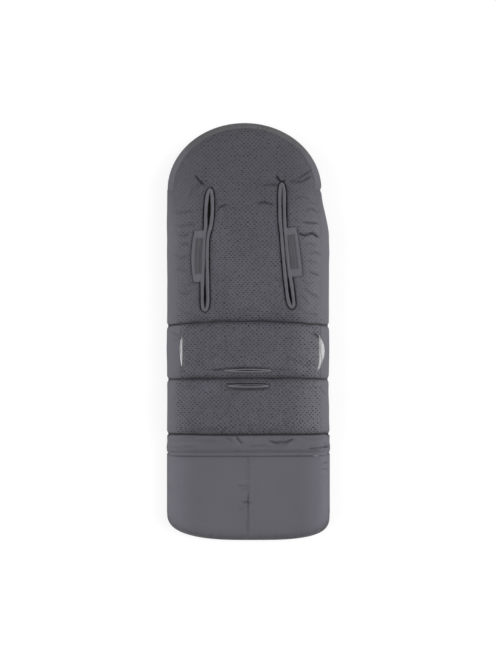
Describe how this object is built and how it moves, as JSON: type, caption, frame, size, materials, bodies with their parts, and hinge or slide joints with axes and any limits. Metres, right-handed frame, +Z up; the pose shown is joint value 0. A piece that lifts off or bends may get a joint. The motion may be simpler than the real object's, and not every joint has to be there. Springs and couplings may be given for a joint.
{
  "type": "stroller footmuff",
  "caption": "Padded zip-up sack for a pushchair seat, with belt slots through its back, a hood and a foot bag that lengthens.",
  "frame": {"origin": "on the floor, under the middle of the footmuff's length and width, as it lies on its front", "axes": "+Y towards the head end, +X to the right seen from the back, +Z up, out of the back"},
  "size_m": [0.405, 1.045, 0.0633],
  "materials": {
    "dotted_cloth": "matt woven polyester with small raised anti-slip dots",
    "plain_nylon": "smooth plain nylon, slight sheen",
    "side_nylon": "smooth plain nylon, slight sheen",
    "hem_cloth": "matt woven binding",
    "fleece": "soft short-pile fleece",
    "wadding": "loose polyester fibre",
    "zip_plastic": "moulded plastic teeth on woven tape",
    "zip_metal": "black painted die casting",
    "hook_tape": "hook and loop tape",
    "elastic": "covered elastic"
  },
  "bodies": {
    "root": {"cover_outer_cloth": "plain_nylon", "cover_wadding": "wadding", "cover_lining": "fleece", "cover_top_binding": "hem_cloth", "cover_wall_left": "side_nylon", "cover_wall_right": "side_nylon", "zip_cover_left": "zip_plastic", "zip_cover_right": "zip_plastic", "zip_end_patch_left": "side_nylon", "zip_end_patch_right": "side_nylon", "band_sleeve": "plain_nylon", "extension_flap": "plain_nylon", "extension_zip_band": "zip_plastic"},
    "back": {"back_lining": "fleece", "upper_pad_cover": "dotted_cloth", "seat_pad_cover": "dotted_cloth", "leg_pad_cover": "dotted_cloth", "upper_pad_wadding": "wadding", "seat_pad_wadding": "wadding", "leg_pad_wadding": "wadding", "edge_roll_left": "side_nylon", "edge_roll_right": "side_nylon", "hood_rim": "hem_cloth", "hood_wall": "hem_cloth", "hood_hem": "hem_cloth", "hood_elastic": "elastic", "harness_slot_left_binding": "hem_cloth", "harness_slot_right_binding": "hem_cloth", "lap_slot_left_binding": "hem_cloth", "lap_slot_right_binding": "hem_cloth", "crotch_slot_upper_binding": "hem_cloth", "crotch_slot_lower_binding": "hem_cloth", "loop_patch_left": "hook_tape", "loop_patch_right": "hook_tape", "zip_back_left": "zip_plastic", "zip_back_right": "zip_plastic"},
    "foot_bag": {"foot_front": "plain_nylon", "foot_wall": "side_nylon", "foot_back_left": "plain_nylon", "foot_back_right": "plain_nylon", "foot_lining_front": "fleece", "foot_lining_back": "fleece", "extension_zip_foot": "zip_plastic"},
    "pleat": {"pleat_sleeve": "plain_nylon"},
    "flap_left": {"tab_left": "hem_cloth", "hook_patch_left": "hook_tape"},
    "flap_right": {"tab_right": "hem_cloth", "hook_patch_right": "hook_tape"},
    "side_slider_left": {"slider_left": "zip_metal"},
    "side_slider_right": {"slider_right": "zip_metal"},
    "side_puller_left": {"puller_left": "zip_metal"},
    "side_puller_right": {"puller_right": "zip_metal"},
    "end_slider": {"extension_slider": "zip_metal"}
  },
  "joints": [
    {"name": "back_fold", "type": "hinge", "parent": "root", "child": "back", "pos_m": [0, -0.2575, 0.051], "axis": [1, 0, 0], "range_deg": [0, 150]},
    {"name": "foot_extend", "type": "slide", "parent": "root", "child": "foot_bag", "axis": [0, -1, 0], "range_m": [0, 0.08]},
    {"name": "pleat_unfold", "type": "slide", "parent": "root", "child": "pleat", "axis": [0, -1, 0], "range_m": [0, 0.04]},
    {"name": "tab_left_lift", "type": "hinge", "parent": "back", "child": "flap_left", "pos_m": [-0.10313, 0.18662, 0.0613], "axis": [0.0386, 0.9993, 0], "range_deg": [0, 150]},
    {"name": "tab_right_lift", "type": "hinge", "parent": "back", "child": "flap_right", "pos_m": [0.09513, 0.18686, 0.0613], "axis": [0.0661, -0.9978, 0], "range_deg": [0, 150]},
    {"name": "zip_left_open", "type": "slide", "parent": "root", "child": "side_slider_left", "axis": [0, -1, 0], "range_m": [0, 0.37]},
    {"name": "zip_right_open", "type": "slide", "parent": "root", "child": "side_slider_right", "axis": [0, -1, 0], "range_m": [0, 0.37]},
    {"name": "puller_left_swing", "type": "hinge", "parent": "side_slider_left", "child": "side_puller_left", "pos_m": [-0.2005, 0.1844, 0.025], "axis": [0, 0, -1], "range_deg": [0, 150]},
    {"name": "puller_right_swing", "type": "hinge", "parent": "side_slider_right", "child": "side_puller_right", "pos_m": [0.2005, 0.1844, 0.025], "axis": [0, 0, 1], "range_deg": [0, 150]},
    {"name": "end_zip_open", "type": "slide", "parent": "root", "child": "end_slider", "axis": [-1, 0, 0], "range_m": [0, 0.33]}
  ],
  "couplings": [
    {"joint": "pleat_unfold", "follows": "foot_extend", "ratio": 0.5}
  ]
}
